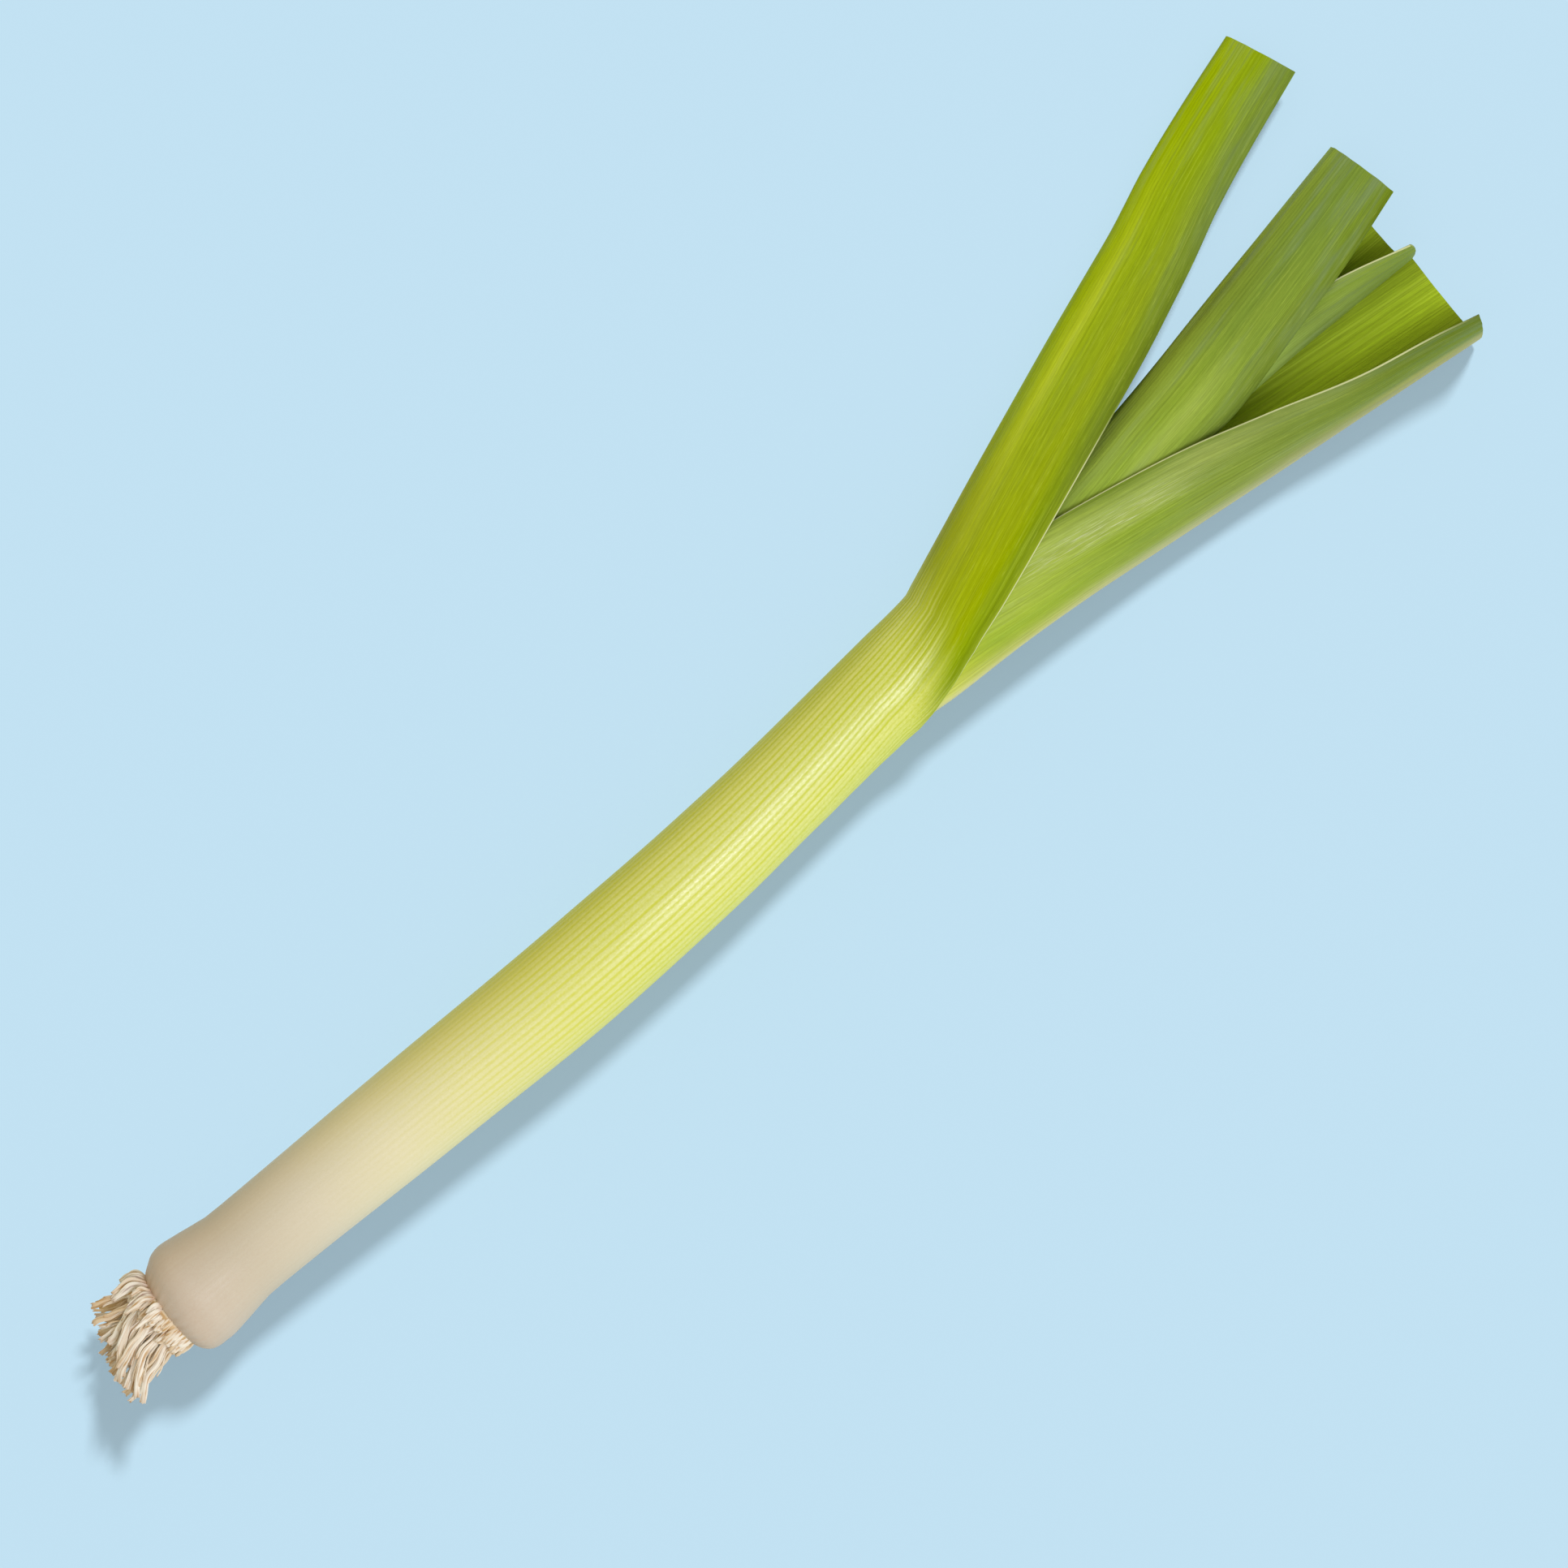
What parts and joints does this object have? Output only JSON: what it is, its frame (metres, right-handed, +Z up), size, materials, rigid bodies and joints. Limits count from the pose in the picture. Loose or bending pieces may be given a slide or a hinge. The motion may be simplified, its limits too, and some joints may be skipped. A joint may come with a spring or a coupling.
{
  "type": "leek",
  "caption": "Whole fresh leek lying on its side: pale ribbed shaft of nested leaf sheaths, folded green leaves cut across at the top, and a tuft of dry roots on a small root plate.",
  "frame": {"origin": "centre of the bounding box, on the surface that the leek lies on", "axes": "+X along the leek from the roots to the cut leaves, +Z up, +Y to the left when looking from the roots towards the leaves"},
  "size_m": [0.5231, 0.1172, 0.0342],
  "materials": {
    "leaf_1_outer": "satin",
    "leaf_2_right": "satin",
    "leaf_3_left": "satin",
    "leaf_4_right": "satin",
    "leaf_5_young": "satin",
    "leaf_6_young": "satin",
    "leaf_7_young": "satin",
    "leaf_8_heart": "satin",
    "root_plate": "matte",
    "roots": "matte"
  },
  "bodies": {
    "root": {"leaf_1_outer": "leaf_1_outer", "leaf_2_right": "leaf_2_right", "leaf_3_left": "leaf_3_left", "leaf_4_right": "leaf_4_right", "leaf_5_young": "leaf_5_young", "leaf_6_young": "leaf_6_young", "leaf_7_young": "leaf_7_young", "leaf_8_heart": "leaf_8_heart", "root_plate": "root_plate", "root_01": "roots", "root_02": "roots", "root_03": "roots", "root_04": "roots", "root_05": "roots", "root_06": "roots", "root_07": "roots", "root_08": "roots", "root_09": "roots", "root_10": "roots", "root_11": "roots", "root_12": "roots", "root_13": "roots", "root_14": "roots", "root_15": "roots", "root_16": "roots", "root_17": "roots", "root_18": "roots", "root_19": "roots", "root_20": "roots", "root_21": "roots", "root_22": "roots", "root_23": "roots", "root_24": "roots", "root_25": "roots", "root_26": "roots", "root_27": "roots", "root_28": "roots", "root_29": "roots", "root_30": "roots", "root_31": "roots", "root_32": "roots", "root_33": "roots", "root_34": "roots", "root_35": "roots", "root_36": "roots", "root_37": "roots", "root_38": "roots", "root_39": "roots", "root_40": "roots"}
  },
  "joints": []
}
